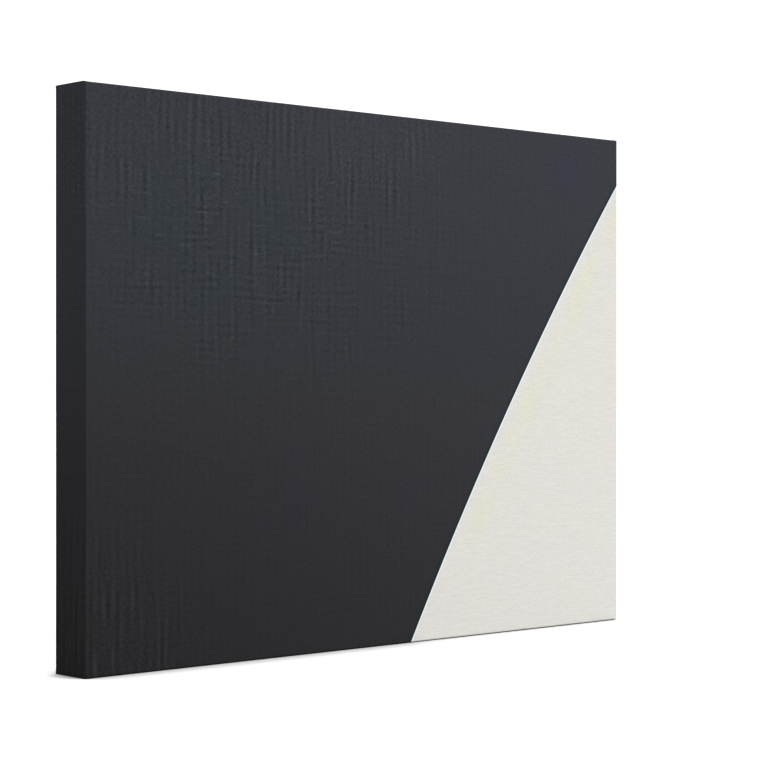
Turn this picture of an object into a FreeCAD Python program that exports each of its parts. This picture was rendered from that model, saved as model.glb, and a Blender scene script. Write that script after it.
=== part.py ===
"""Stretched canvas: printed cloth over a keyed pine stretcher frame, with its hanging hardware.

Millimetres. The picture faces -Y, +X is to the right as the picture is seen, and +Z is up.
The origin is the middle of the bottom of the bounding box.

Every piece that belongs to one bar is drawn in that bar's own frame and then placed with it:
X runs along the bar from its trailing end to its leading end, Y goes back from the bar's front
face, and Z is zero at the outer edge and negative towards the inside of the frame. Seen from
the front, the leading end of each bar meets the trailing end of the next one clockwise.
"""
import FreeCAD, Part

import os
import re

import Sketcher
from FreeCAD import Placement, Rotation, Vector

SIZES = (
    ("frame_width", 600, "outside of the stretcher frame"),
    ("frame_height", 450, "outside of the stretcher frame"),
    ("bar_depth", 40, "front to back"),
    ("bar_width", 40, "outer edge to inner edge"),
    ("bar_ease", 0.5, "round on a bar's long edges"),
    ("bead_width", 6, "flat at the outer edge of the front, the only wood under the picture"),
    ("bead_relief", 3, "how far the inner edge of the front stays behind the cloth"),
    ("front_layer", 14, "depth of the mitre in front of the tongues"),
    ("tongue", 5, "depth of one tongue and of the slot it fills"),
    ("tongue_inset", 0.5, "a tongue ends this far short of the outer edge"),
    ("mitre_gap", 0.1, "each mitre face is cut back this much"),
    ("key_slope", 0.3, "width of a key over its distance from the outer edge"),
    ("key_seated", 26, "length of a key inside its slot"),
    ("key_proud", 14, "length of a key that stands out of its slot"),
    ("key_gap", 0.1, "play along each edge of a key"),
    ("key_play", 0.2, "play on each face of a key"),
    ("key_round", 0.6, "round on the corners of a key's head"),
    ("cloth", 0.5, "thickness of the cloth"),
    ("fold", 0.7, "thickness of the layers tucked into a corner fold"),
    ("flap", 22, "cloth turned over onto the back of a bar"),
    ("staple_crown", 12, "width of a staple"),
    ("staple_leg", 8, "length of a staple's legs"),
    ("staple_wire", 0.6, "thickness of a staple's wire"),
    ("staple_band", 1.2, "width of a staple's wire"),
    ("staple_pitch", 50, "staple to staple"),
    ("staple_margin", 42, "least distance from a bar's end to its first staple"),
    ("hanger_length", 60, "sawtooth hanger, end to end"),
    ("hanger_width", 10, "sawtooth hanger, edge to edge"),
    ("hanger_metal", 0.8, "thickness of its strip"),
    ("hanger_rise", 1.7, "room between its bridge and the wood"),
    ("hanger_tab", 7, "length of each flat end"),
    ("hanger_ramp", 3, "length of each slope up to the bridge"),
    ("tooth_pitch", 2.5, "tooth to tooth"),
    ("tooth_height", 1.8, "depth of a notch between two teeth"),
    ("tooth_count", 14, "notches along the bridge"),
    ("nail_hole", 1.8, "diameter of the hole in each flat end"),
    ("nail_shank", 1.4, "diameter of a hanger nail"),
    ("nail_head", 3.4, "diameter of its head"),
    ("nail_cap", 0.6, "thickness of its head"),
    ("nail_length", 12, "under the head"),
    ("bumper_base", 10, "diameter of a bumper"),
    ("bumper_height", 3.5, "how far a bumper stands off the wood"),
    ("bumper_round", 2, "round on a bumper's face"),
    ("bumper_reach", 60, "from the end of a side bar to its bumper"),
)

# Distances worked out from the cells.
FRONT = "(cloth - bar_depth - bumper_height) / 2"
MIDDLE = "fold + cloth + frame_height / 2"
BARE_WOOD = "-(flap + bar_width) / 2"
KEY_START = "(bar_width - key_seated)"
KEY_REACH = "(bar_width + key_proud)"
SLOT_BACK = "(front_layer + 2 * tongue)"
OVER = "1"

# name: (length along the bar, turn about +Y in degrees, X and Z of the bar's own origin)
BARS = {
    "top": ("frame_width", 0, "0", MIDDLE + " + frame_height / 2"),
    "right": ("frame_height", 90, "frame_width / 2", MIDDLE),
    "bottom": ("frame_width", 180, "0", MIDDLE + " - frame_height / 2"),
    "left": ("frame_height", 270, "-frame_width / 2", MIDDLE),
}
# bar: (bar met at its trailing end, bar met at its leading end)
NEIGHBOURS = {
    "top": ("left", "right"),
    "right": ("top", "bottom"),
    "bottom": ("right", "left"),
    "left": ("bottom", "top"),
}
TRAILING = "-1"
LEADING = "1"

doc = FreeCAD.newDocument("StretchedCanvas")
sheet = doc.addObject("Spreadsheet::Sheet", "Sizes")
for row, (alias, size, note) in enumerate(SIZES, start=1):
    sheet.set(f"A{row}", alias)
    sheet.set(f"B{row}", str(size))
    sheet.set(f"C{row}", note)
    sheet.setAlias(f"B{row}", alias)
doc.recompute()
ALIASES = {alias for alias, size, note in SIZES}


def formula(text):
    """The text with each of the sheet's aliases written as a reference to its cell."""
    return re.sub(r"[a-z_]+", lambda word: f"Sizes.{word[0]}" if word[0] in ALIASES else word[0], text)


def worth(text):
    """What a formula comes to now."""
    return float(sheet.evalExpression(formula(text)))


def bind(thing, **properties):
    """Bind properties to formulas. Two underscores in a name stand for a dot."""
    for path, text in properties.items():
        thing.setExpression(path.replace("__", "."), formula(text))


# Sketches and features ----------------------------------------------------------------------

def new_body(name, bar=None):
    """A body, placed with a bar if one is named."""
    body = doc.addObject("PartDesign::Body", name)
    body.Label = name
    if bar:
        length, turn, base_x, base_z = BARS[bar]
        body.Placement = Placement(Vector(0, 0, 0), Rotation(Vector(0, 1, 0), turn))
        bind(body, Placement__Base__x=base_x, Placement__Base__y=FRONT, Placement__Base__z=base_z)
    return body


def new_sketch(body, name, role, offset=("0", "0", "0"), turn=0):
    """An empty sketch on one of the body's origin planes, moved by an offset in the plane's frame."""
    sketch = body.newObject("Sketcher::SketchObject", name)
    plane = next(feature for feature in body.Origin.OriginFeatures if feature.Role == role)
    sketch.AttachmentSupport = (plane, [""])
    sketch.MapMode = "FlatFace"
    sketch.AttachmentOffset = Placement(Vector(0, 0, 0), Rotation(Vector(0, 1, 0), turn))
    bind(
        sketch,
        AttachmentOffset__Base__x=offset[0],
        AttachmentOffset__Base__y=offset[1],
        AttachmentOffset__Base__z=offset[2],
    )
    return sketch


def pin_down(sketch, geometry, vertex, x, y):
    """Hold one vertex at a place given by two formulas."""
    for kind, text in (("DistanceX", x), ("DistanceY", y)):
        index = sketch.addConstraint(Sketcher.Constraint(kind, geometry, vertex, worth(text)))
        sketch.setExpression(f"Constraints[{index}]", formula(text))


def draw_outline(sketch, corners):
    """Add a closed outline of straight lines through the corners."""
    places = [Vector(worth(x), worth(y), 0) for x, y in corners]
    lines = []
    for start, end in zip(places, places[1:] + places[:1]):
        lines.append(sketch.addGeometry(Part.LineSegment(start, end), False))
    for line, following in zip(lines, lines[1:] + lines[:1]):
        sketch.addConstraint(Sketcher.Constraint("Coincident", line, 2, following, 1))
    for line, (x, y) in zip(lines, corners):
        pin_down(sketch, line, 1, x, y)


def draw_circle(sketch, x, y, diameter):
    """Add a circle."""
    radius = worth(diameter) / 2
    circle = sketch.addGeometry(
        Part.Circle(Vector(worth(x), worth(y), 0), Vector(0, 0, 1), radius), False)
    pin_down(sketch, circle, 3, x, y)
    index = sketch.addConstraint(Sketcher.Constraint("Diameter", circle, 2 * radius))
    sketch.setExpression(f"Constraints[{index}]", formula(diameter))


def depth_sketch(body, name, start):
    """A sketch in X and Z, at a depth behind the bar's front face."""
    return new_sketch(body, name, "XZ_Plane", offset=("0", "0", f"-({start})"))


def pad(body, name, sketch, length, reverse=False, both_ways=False):
    """Add material on a sketch."""
    feature = body.newObject("PartDesign::Pad", name)
    feature.Profile = sketch
    feature.Reversed = reverse
    if both_ways:
        feature.SideType = "Symmetric"
    bind(feature, Length=length)
    return feature


def cut(body, name, sketch, length):
    """Remove material behind a depth sketch, and insist that something was removed."""
    doc.recompute()
    before = body.Shape.Volume
    feature = body.newObject("PartDesign::Pocket", name)
    feature.Profile = sketch
    bind(feature, Length=length)
    doc.recompute()
    if not body.Shape.Volume < before - 1e-3:
        raise RuntimeError(f"{name} cut nothing from {body.Label}")
    return feature


def round_edges(body, name, radius, wanted):
    """Round the edges of the body that a test picks."""
    doc.recompute()
    base = body.Tip
    picked = [f"Edge{n}" for n, edge in enumerate(base.Shape.Edges, start=1) if wanted(edge)]
    if not picked:
        raise RuntimeError(f"{name} found no edge on {body.Label}")
    feature = body.newObject("PartDesign::Fillet", name)
    feature.Base = (base, picked)
    bind(feature, Radius=radius)
    return feature


def repeat_along_x(body, feature, sketch, length, count):
    """Repeat a feature along X and make the row the body's result."""
    pattern = body.newObject("PartDesign::LinearPattern", feature.Name + "_row")
    pattern.Originals = [feature]
    pattern.Direction = (sketch, ["H_Axis"])
    bind(pattern, Length=length, Occurrences=count)
    body.Tip = pattern
    return pattern


def near(number, text):
    """Whether a measured number is what a formula says."""
    return abs(number - worth(text)) < 1e-4


def direction(edge):
    """Unit vector along a straight edge."""
    return (edge.Vertexes[-1].Point - edge.Vertexes[0].Point).normalize()


def middle(edge):
    """Middle of an edge's bounding box."""
    return edge.BoundBox.Center


# Stretcher bars -----------------------------------------------------------------------------

def make_bar(side):
    """One pine bar: mitred in front and behind, with a tongue and a keyed slot at each end."""
    length = BARS[side][0]
    body = new_body(f"stretcher_bar_{side}", side)
    profile = new_sketch(body, f"{side}_profile", "YZ_Plane")
    draw_outline(profile, [
        ("0", "0"),
        ("0", "-bead_width"),
        ("bead_relief", "-bar_width"),
        ("bar_depth", "-bar_width"),
        ("bar_depth", "0"),
    ])
    pad(body, f"{side}_length", profile, length, both_ways=True)

    def is_long_corner(edge):
        if abs(direction(edge).x) < 0.99:
            return False
        return near(middle(edge).z, "0") or near(middle(edge).z, "-bar_width")

    round_edges(body, f"{side}_ease", "bar_ease", is_long_corner)

    def at_end(end, inset, z):
        return (f"{end} * ({length} / 2 - ({inset}))", z)

    def mitre(end):
        return [
            at_end(end, f"mitre_gap - {OVER}", OVER),
            at_end(end, f"-2 * {OVER}", OVER),
            at_end(end, f"-2 * {OVER}", f"-bar_width - {OVER}"),
            at_end(end, f"mitre_gap + bar_width + {OVER}", f"-bar_width - {OVER}"),
        ]

    def slot(end):
        return [
            at_end(end, f"bar_width - key_slope * {OVER}", OVER),
            at_end(end, f"-{OVER}", OVER),
            at_end(end, f"-{OVER}", f"-bar_width - {OVER}"),
            at_end(end, f"bar_width + key_slope * (bar_width + {OVER})", f"-bar_width - {OVER}"),
        ]

    def tongue_end(end):
        return [
            at_end(end, "tongue_inset", OVER),
            at_end(end, f"-{OVER}", OVER),
            at_end(end, f"-{OVER}", f"-bar_width - {OVER}"),
            at_end(end, "tongue_inset", f"-bar_width - {OVER}"),
        ]

    layers = (
        ("front_mitres", "0", "front_layer", mitre(TRAILING), mitre(LEADING)),
        ("front_slot", "front_layer", "tongue", slot(TRAILING), tongue_end(LEADING)),
        ("back_slot", "front_layer + tongue", "tongue", tongue_end(TRAILING), slot(LEADING)),
        ("back_mitres", SLOT_BACK, f"bar_depth - {SLOT_BACK}", mitre(TRAILING), mitre(LEADING)),
    )
    for name, start, depth, trailing_cut, leading_cut in layers:
        sketch = depth_sketch(body, f"{side}_{name}_sketch", start)
        draw_outline(sketch, trailing_cut)
        draw_outline(sketch, leading_cut)
        cut(body, f"{side}_{name}", sketch, depth)
    return body


def make_key(side, end):
    """One beech key in the slot at an end of a bar: straight against the next bar, sloping on the other side."""
    length = BARS[side][0]
    neighbour = NEIGHBOURS[side][0 if end == TRAILING else 1]
    body = new_body(f"key_{side}_bar_{neighbour}", side)
    slot_front = "front_layer" if end == TRAILING else "front_layer + tongue"

    def corner(slope, reach):
        inset = f"bar_width + key_gap + {slope} * (key_slope * {reach} - 2 * key_gap)"
        return (f"{end} * ({length} / 2 - ({inset}))", f"-{reach}")

    sketch = depth_sketch(body, f"{body.Name}_sketch", f"{slot_front} + key_play")
    draw_outline(sketch, [
        corner(0, KEY_START),
        corner(1, KEY_START),
        corner(1, KEY_REACH),
        corner(0, KEY_REACH),
    ])
    pad(body, f"{body.Name}_thickness", sketch, "tongue - 2 * key_play", reverse=True)

    def is_head_corner(edge):
        return abs(direction(edge).y) > 0.99 and near(middle(edge).z, f"-{KEY_REACH}")

    round_edges(body, f"{body.Name}_head", "key_round", is_head_corner)
    return body


# Canvas -------------------------------------------------------------------------------------

def make_rounded_box(name, grow, radius):
    """The stretcher frame's own block, grown on every side, with its front and back edges round."""
    box = doc.addObject("Part::Box", name + "_block")
    bind(
        box,
        Length=f"frame_width + 2 * {grow}",
        Width=f"bar_depth + 2 * {grow}",
        Height=f"frame_height + 2 * {grow}",
        Placement__Base__x=f"-frame_width / 2 - {grow}",
        Placement__Base__y=f"{FRONT} - {grow}",
        Placement__Base__z=f"{MIDDLE} - frame_height / 2 - {grow}",
    )
    doc.recompute()
    rounded = doc.addObject("Part::Fillet", name)
    rounded.Base = box
    numbers = [n for n, edge in enumerate(box.Shape.Edges, start=1) if abs(direction(edge).y) < 0.01]
    rounded.Edges = [(n, worth(radius), worth(radius)) for n in numbers]
    doc.recompute()
    return rounded


def make_cloth_shell():
    """The cloth over the frame, with the window that its turned-over flaps leave at the back."""
    outside = make_rounded_box("cloth_outside", "cloth", "bar_ease + cloth")
    inside = make_rounded_box("cloth_inside", "0", "bar_ease")
    hollow = doc.addObject("Part::Cut", "cloth_hollow")
    hollow.Base = outside
    hollow.Tool = inside
    window = doc.addObject("Part::Box", "cloth_window")
    bind(
        window,
        Length="frame_width - 2 * flap",
        Width="2 * cloth",
        Height="frame_height - 2 * flap",
        Placement__Base__x="flap - frame_width / 2",
        Placement__Base__y=f"{FRONT} + bar_depth - cloth / 2",
        Placement__Base__z=f"{MIDDLE} - frame_height / 2 + flap",
    )
    shell = doc.addObject("Part::Cut", "cloth_shell")
    shell.Base = hollow
    shell.Tool = window
    doc.recompute()
    return shell


def make_canvas():
    """The printed cloth: one sheet over the front, the sides and the edge of the back."""
    body = doc.addObject("PartDesign::Body", "canvas")
    body.Label = "canvas"
    body.BaseFeature = make_cloth_shell()
    side_x = "(frame_width / 2 + cloth)"
    fold_front = f"({FRONT} + bar_ease)"
    fold_back = f"({FRONT} + bar_depth - bar_ease)"
    fold_length = "(bar_depth - 2 * bar_ease)"

    # Layers of the corner folds on the top and bottom: a triangle at each end.
    levels = (
        ("top", f"{MIDDLE} + frame_height / 2 + cloth", False),
        ("bottom", f"{MIDDLE} - frame_height / 2 - cloth", True),
    )
    for level, height, downwards in levels:
        sketch = new_sketch(body, f"{level}_folds_sketch", "XY_Plane", offset=("0", "0", height))
        for end in (TRAILING, LEADING):
            draw_outline(sketch, [
                (f"{end} * {side_x}", fold_front),
                (f"{end} * {side_x}", fold_back),
                (f"{end} * ({side_x} - {fold_length})", fold_back),
            ])
        pad(body, f"{level}_folds", sketch, "fold", reverse=downwards)

    # The same layers where they reach the back: a square at each corner.
    sketch = depth_sketch(body, "back_folds_sketch", f"{FRONT} + bar_depth + cloth")
    for x_end in (TRAILING, LEADING):
        for z_end in (TRAILING, LEADING):
            outer = (f"{x_end} * (frame_width / 2 - bar_ease)",
                     f"{MIDDLE} + {z_end} * (frame_height / 2 - bar_ease)")
            inner = (f"{x_end} * (frame_width / 2 - flap)",
                     f"{MIDDLE} + {z_end} * (frame_height / 2 - flap)")
            draw_outline(sketch, [outer, (inner[0], outer[1]), inner, (outer[0], inner[1])])
    pad(body, "back_folds", sketch, "fold", reverse=True)
    return body


# Fasteners and hardware ---------------------------------------------------------------------

def draw_staple(sketch, x, seat):
    """A staple's outline, its crown on a seat at a depth behind the bar's front face."""
    def leg(end, inset):
        return f"{x} + {end} * (staple_crown / 2 - {inset})"

    crown = f"{seat} + staple_wire"
    point = f"{seat} - staple_leg"
    draw_outline(sketch, [
        (leg(TRAILING, "0"), crown),
        (leg(TRAILING, "0"), point),
        (leg(TRAILING, "staple_wire"), point),
        (leg(TRAILING, "staple_wire"), seat),
        (leg(LEADING, "staple_wire"), seat),
        (leg(LEADING, "staple_wire"), point),
        (leg(LEADING, "0"), point),
        (leg(LEADING, "0"), crown),
    ])


def make_staples(side):
    """The staples along one bar, and the one through the fold at its leading end."""
    length = BARS[side][0]
    body = new_body(f"staples_{side}", side)
    count = f"floor(({length} - 2 * staple_margin) / staple_pitch) + 1"
    row_length = f"(({count}) - 1) * staple_pitch"
    row_sketch = new_sketch(body, f"{side}_row_sketch", "XY_Plane", offset=("0", "0", "-flap / 2"))
    draw_staple(row_sketch, f"-({row_length}) / 2", "bar_depth + cloth")
    staple = pad(body, f"{side}_staple", row_sketch, "staple_band", both_ways=True)
    repeat_along_x(body, staple, row_sketch, row_length, count)
    corner_sketch = new_sketch(
        body, f"{side}_corner_sketch", "XY_Plane",
        offset=(f"{length} / 2 - flap / 2", "0", "-flap / 2"), turn=45)
    draw_staple(corner_sketch, "0", "bar_depth + cloth + fold")
    pad(body, f"{side}_corner_staple", corner_sketch, "staple_band", both_ways=True)
    return body


def make_hanger():
    """Sawtooth hanger: a bridge of thin strip, with notches in its lower edge for the wall nail."""
    body = new_body("sawtooth_hanger", "top")
    half = "hanger_length / 2"
    foot = "(hanger_length / 2 - hanger_tab)"
    bridge = "(hanger_length / 2 - hanger_tab - hanger_ramp)"
    wood = "bar_depth"
    metal = "hanger_metal"
    half_outline = [
        (half, wood),
        (half, f"{wood} + {metal}"),
        (foot, f"{wood} + {metal}"),
        (bridge, f"{wood} + hanger_rise + {metal}"),
    ]
    under_half = [
        (f"{bridge} - {metal} / 2", f"{wood} + hanger_rise"),
        (f"{foot} - {metal} / 2", wood),
    ]
    left_outline = [(f"-({x})", y) for x, y in reversed(half_outline)]
    under_left = [(f"-({x})", y) for x, y in reversed(under_half)]
    strip = new_sketch(body, "hanger_strip_sketch", "XY_Plane", offset=("0", "0", BARE_WOOD))
    draw_outline(strip, half_outline + left_outline + under_left + under_half)
    pad(body, "hanger_strip", strip, "hanger_width", both_ways=True)

    lower_edge = f"{BARE_WOOD} - hanger_width / 2"
    first_notch = "-tooth_pitch * tooth_count / 2"
    teeth = depth_sketch(body, "hanger_notch_sketch", "bar_depth")
    draw_outline(teeth, [
        (first_notch, f"{lower_edge} - {OVER} / 10"),
        (f"{first_notch} + tooth_pitch", f"{lower_edge} - {OVER} / 10"),
        (f"{first_notch} + tooth_pitch / 2", f"{lower_edge} + tooth_height"),
    ])
    notch = cut(body, "hanger_notch", teeth, "hanger_rise + 2 * hanger_metal")
    repeat_along_x(body, notch, teeth, "(tooth_count - 1) * tooth_pitch", "tooth_count")

    holes = depth_sketch(body, "hanger_holes_sketch", "bar_depth")
    for end in (TRAILING, LEADING):
        draw_circle(holes, f"{end} * (hanger_length - hanger_tab) / 2", BARE_WOOD, "nail_hole")
    cut(body, "hanger_holes", holes, "2 * hanger_metal")
    return body


def make_hanger_nail(name, end):
    """One of the two nails that hold the hanger: flat head, round shank and a point."""
    body = new_body(name, "top")
    place = (f"{end} * (hanger_length - hanger_tab) / 2", "bar_depth + hanger_metal", BARE_WOOD)
    sketch = new_sketch(body, f"{name}_sketch", "XY_Plane", offset=place)
    draw_outline(sketch, [
        ("0", "nail_cap"),
        ("nail_head / 2", "nail_cap"),
        ("nail_head / 2", "0"),
        ("nail_shank / 2", "0"),
        ("nail_shank / 2", "nail_shank - nail_length"),
        ("0", "-nail_length"),
    ])
    turned = body.newObject("PartDesign::Revolution", f"{name}_turned")
    turned.Profile = sketch
    turned.ReferenceAxis = (sketch, ["V_Axis"])
    turned.Angle = 360
    return body


def make_bumper(name, side, end):
    """A round self-adhesive bumper on a side bar, which keeps the frame off the wall."""
    body = new_body(name, side)
    sketch = depth_sketch(body, f"{name}_sketch", "bar_depth")
    draw_circle(sketch, f"{end} * ({BARS[side][0]} / 2 - bumper_reach)", BARE_WOOD, "bumper_base")
    pad(body, f"{name}_height", sketch, "bumper_height", reverse=True)

    def is_face_rim(edge):
        return near(edge.BoundBox.YMin, "bar_depth + bumper_height")

    round_edges(body, f"{name}_rim", "bumper_round", is_face_rim)
    return body


# The whole object ---------------------------------------------------------------------------

def make_pieces():
    """Every piece of the object, each in a body of its own."""
    pieces = [make_bar(side) for side in BARS]
    for side in BARS:
        for end in (TRAILING, LEADING):
            pieces.append(make_key(side, end))
    pieces.append(make_canvas())
    pieces += [make_staples(side) for side in BARS]
    pieces.append(make_hanger())
    pieces.append(make_hanger_nail("hanger_nail_left", TRAILING))
    pieces.append(make_hanger_nail("hanger_nail_right", LEADING))
    pieces.append(make_bumper("bumper_top_right", "right", TRAILING))
    pieces.append(make_bumper("bumper_bottom_right", "right", LEADING))
    pieces.append(make_bumper("bumper_bottom_left", "left", TRAILING))
    pieces.append(make_bumper("bumper_top_left", "left", LEADING))
    return pieces


def check(pieces):
    """Stop if any object failed or any piece isn't sound."""
    failed = [thing.Name for thing in doc.Objects if {"Invalid", "Error"} & set(thing.State)]
    if failed:
        raise RuntimeError(f"failed objects: {failed}")
    for piece in pieces:
        if piece.Shape.isNull() or not piece.Shape.isValid() or not piece.Shape.Solids:
            raise RuntimeError(f"{piece.Label} is not a valid shape")


pieces = make_pieces()
doc.recompute()
check(pieces)
os.makedirs("parts", exist_ok=True)
for piece in pieces:
    piece.Shape.exportStep(f"parts/{piece.Label}.step")
    box = piece.Shape.BoundBox
    print(
        f"{piece.Label:24s} {len(piece.Shape.Solids):3d} solids {piece.Shape.Volume:11.1f} mm3"
        f"  X {box.XMin:8.2f} {box.XMax:8.2f}  Y {box.YMin:7.2f} {box.YMax:7.2f}"
        f"  Z {box.ZMin:7.2f} {box.ZMax:7.2f}"
    )
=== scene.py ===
import math
import random

import bmesh
import bpy
import numpy as np
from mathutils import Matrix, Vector, noise


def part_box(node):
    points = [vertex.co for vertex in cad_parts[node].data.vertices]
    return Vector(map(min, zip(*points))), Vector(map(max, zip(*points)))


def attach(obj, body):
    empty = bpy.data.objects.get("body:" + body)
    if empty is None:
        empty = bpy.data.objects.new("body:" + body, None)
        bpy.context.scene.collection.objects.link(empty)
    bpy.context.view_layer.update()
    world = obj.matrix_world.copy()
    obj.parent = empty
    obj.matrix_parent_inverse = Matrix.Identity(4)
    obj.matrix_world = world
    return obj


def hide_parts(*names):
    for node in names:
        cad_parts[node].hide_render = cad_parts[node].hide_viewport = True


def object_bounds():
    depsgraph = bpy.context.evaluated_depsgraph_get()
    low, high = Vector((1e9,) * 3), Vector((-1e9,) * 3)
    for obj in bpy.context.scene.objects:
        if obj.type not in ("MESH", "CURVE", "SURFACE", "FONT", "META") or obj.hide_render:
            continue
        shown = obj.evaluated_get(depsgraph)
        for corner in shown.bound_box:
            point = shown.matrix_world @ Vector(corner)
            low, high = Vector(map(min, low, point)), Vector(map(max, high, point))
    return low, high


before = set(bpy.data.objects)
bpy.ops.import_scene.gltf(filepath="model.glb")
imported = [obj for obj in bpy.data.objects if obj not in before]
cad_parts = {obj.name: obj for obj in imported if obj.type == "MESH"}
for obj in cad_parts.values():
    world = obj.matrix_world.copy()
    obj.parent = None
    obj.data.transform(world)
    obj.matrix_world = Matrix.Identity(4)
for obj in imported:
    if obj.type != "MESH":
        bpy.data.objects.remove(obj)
CAD_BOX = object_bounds()
MM = 0.001
SIDES = ("top", "right", "bottom", "left")

# Sizes of the frame, from its bars ----------------------------------------------------------

top_low, top_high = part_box("stretcher_bar_top")
bottom_low, bottom_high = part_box("stretcher_bar_bottom")
right_low, right_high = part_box("stretcher_bar_right")
HALF_WIDTH = right_high.x
HALF_HEIGHT = (top_high.z - bottom_low.z) / 2
MIDDLE = (top_high.z + bottom_low.z) / 2
FRONT = top_low.y
DEPTH = top_high.y - top_low.y
EASE = 0.5 * MM            # round on the bars' long edges

# Sizes of the cloth -------------------------------------------------------------------------

CLOTH = 0.32 * MM          # thickness
REST = 0.06 * MM           # air between the cloth and the wood
LAYER = 0.33 * MM          # layer to layer where the cloth is folded
TIGHT = 0.16 * MM          # inside round where the cloth turns a sharp corner of the frame
TURNED = 22 * MM           # width of the flaps on the back
STAPLE_LINE = 11 * MM      # staples' distance from the edge of the back
STAPLE_PITCH = 50 * MM
BARE_MARGIN = 12 * MM      # the print stops this far onto the back
THREAD = 0.46 * MM         # thread to thread in the weave


# Shader building ----------------------------------------------------------------------------

class Shader:
    """A material and short calls for the nodes that it's made of."""

    def __init__(self, name, **surface):
        self.material = bpy.data.materials.new(name)
        self.material.use_nodes = True
        self.tree = self.material.node_tree
        self.surface = self.tree.nodes["Principled BSDF"]
        for socket, value in surface.items():
            self.put(value, self.surface.inputs[socket.replace("_", " ")])

    def put(self, value, socket):
        """Link a socket to another, or set it to a constant."""
        if isinstance(value, bpy.types.NodeSocket):
            self.tree.links.new(value, socket)
        else:
            socket.default_value = value

    def node(self, kind, *values, **settings):
        made = self.tree.nodes.new("ShaderNode" + kind)
        for key, setting in settings.items():
            setattr(made, key, setting)
        for socket, value in zip(made.inputs, values):
            self.put(value, socket)
        return made

    def math(self, operation, *values):
        return self.node("Math", *values, operation=operation).outputs[0]

    def add(self, first, second):
        return self.math("ADD", first, second)

    def take(self, first, second):
        return self.math("SUBTRACT", first, second)

    def times(self, first, second):
        return self.math("MULTIPLY", first, second)

    def place(self, attribute=None):
        """Where a point is: in the piece's own space, or in one of its attributes."""
        if attribute:
            return self.node("Attribute", attribute_name=attribute).outputs["Vector"]
        return self.node("TexCoord").outputs["Object"]

    def stretch(self, place, scale, offset=(0, 0, 0), turn=(0, 0, 0)):
        return self.node("Mapping", place, offset, turn, scale).outputs[0]

    def split(self, place):
        return self.node("SeparateXYZ", place).outputs

    def noise(self, place, scale=1.0, detail=2.0, roughness=0.5):
        made = self.node("TexNoise")
        self.put(place, made.inputs["Vector"])
        for name, value in (("Scale", scale), ("Detail", detail), ("Roughness", roughness)):
            made.inputs[name].default_value = value
        return made.outputs["Fac"]

    def span(self, value, low, high, to_low=0.0, to_high=1.0, smooth=True):
        """Map one range onto another, clamped."""
        kind = "SMOOTHSTEP" if smooth else "LINEAR"
        return self.node("MapRange", value, low, high, to_low, to_high,
                         interpolation_type=kind).outputs[0]

    def ramp(self, value, stops):
        made = self.node("ValToRGB", value)
        points = made.color_ramp.elements
        while len(points) < len(stops):
            points.new(0.5)
        for point, (place, colour) in zip(points, stops):
            point.position = place
            point.color = colour
        return made.outputs[0]

    def blend(self, factor, first, second, mode="MIX"):
        made = self.node("Mix", data_type="RGBA", blend_type=mode)
        for value, index in ((factor, 0), (first, 6), (second, 7)):     # the colour sockets
            self.put(value, made.inputs[index])
        return made.outputs[2]

    def tint(self, factor, colour, red, green, blue):
        """Multiply a colour by a tint, as far as a factor says."""
        return self.blend(factor, colour, (red, green, blue, 1), "MULTIPLY")

    def bump(self, height, distance, below=None):
        made = self.node("Bump")
        made.inputs["Strength"].default_value = 1.0
        made.inputs["Distance"].default_value = distance
        self.put(height, made.inputs["Height"])
        if below:
            self.put(below, made.inputs["Normal"])
        return made.outputs[0]

    def colour(self, value):
        self.put(value, self.surface.inputs["Base Color"])

    def normal(self, value):
        self.put(value, self.surface.inputs["Normal"])


def srgb(red, green, blue):
    """A colour given as it looks on a screen, 0 to 255, in linear light."""
    linear = [c / 3294.6 if c <= 10.31 else ((c / 255 + 0.055) / 1.055) ** 2.4
              for c in (red, green, blue)]
    return (*linear, 1.0)


# The cloth's materials ----------------------------------------------------------------------

DISC_CENTRE = (2.935, -1.817)      # the pale field is part of a very large disc
DISC_RADIUS = 3.3081
PRINT_SHINE = 0.10
PRINT_EDGE = 0.3 * MM              # half the width over which the print stops
PRINTED_RELIEF = 0.10 * MM         # height of the weave under the print
RAW_RELIEF = 0.14 * MM
DARK_FIELD = (                     # from the picture's foot to its head
    (0.0, srgb(42.2, 42.4, 45.0)),
    (0.10, srgb(43.0, 43.1, 45.5)),
    (0.26, srgb(45.8, 45.1, 49.8)),
    (0.50, srgb(49.6, 50.5, 55.2)),
    (0.82, srgb(52.6, 55.2, 60.6)),
    (1.0, srgb(54.6, 56.2, 62.0)),
)
BRIGHTER_RIGHT = (                 # how fast the dark field brightens to the right, foot to head
    (0.0, (0.80, 0.80, 0.80, 1)),
    (0.35, (0.60, 0.60, 0.60, 1)),
    (0.62, (0.18, 0.18, 0.18, 1)),
)
PALE_FIELD = (                     # foot to head
    (0.0, srgb(227, 224.5, 219)),
    (1.0, srgb(228, 225.5, 218)),
)


def weave(shader, place):
    """Plain weave: warp and weft threads that pass over and under each other."""
    drift = shader.noise(place, scale=60, detail=1)
    across, up = shader.split(place)[:2]
    wobble = shader.times(drift, 6 * THREAD)
    warp = shader.math("SINE", shader.times(shader.add(across, wobble), math.pi / THREAD))
    weft = shader.math("SINE", shader.times(shader.add(up, wobble), math.pi / THREAD))
    over = shader.span(shader.times(warp, weft), -0.22, 0.22)
    warp_width = shader.math("ABSOLUTE", warp)
    weft_width = shader.math("ABSOLUTE", weft)
    warp_over = shader.times(shader.math("POWER", warp_width, 0.8),
                             shader.span(weft_width, 0, 1, 0.55, 1.0))
    weft_over = shader.times(shader.math("POWER", weft_width, 0.8),
                             shader.span(warp_width, 0, 1, 0.55, 1.0))
    return shader.add(shader.times(warp_over, over),
                      shader.times(weft_over, shader.take(1.0, over)))


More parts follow.
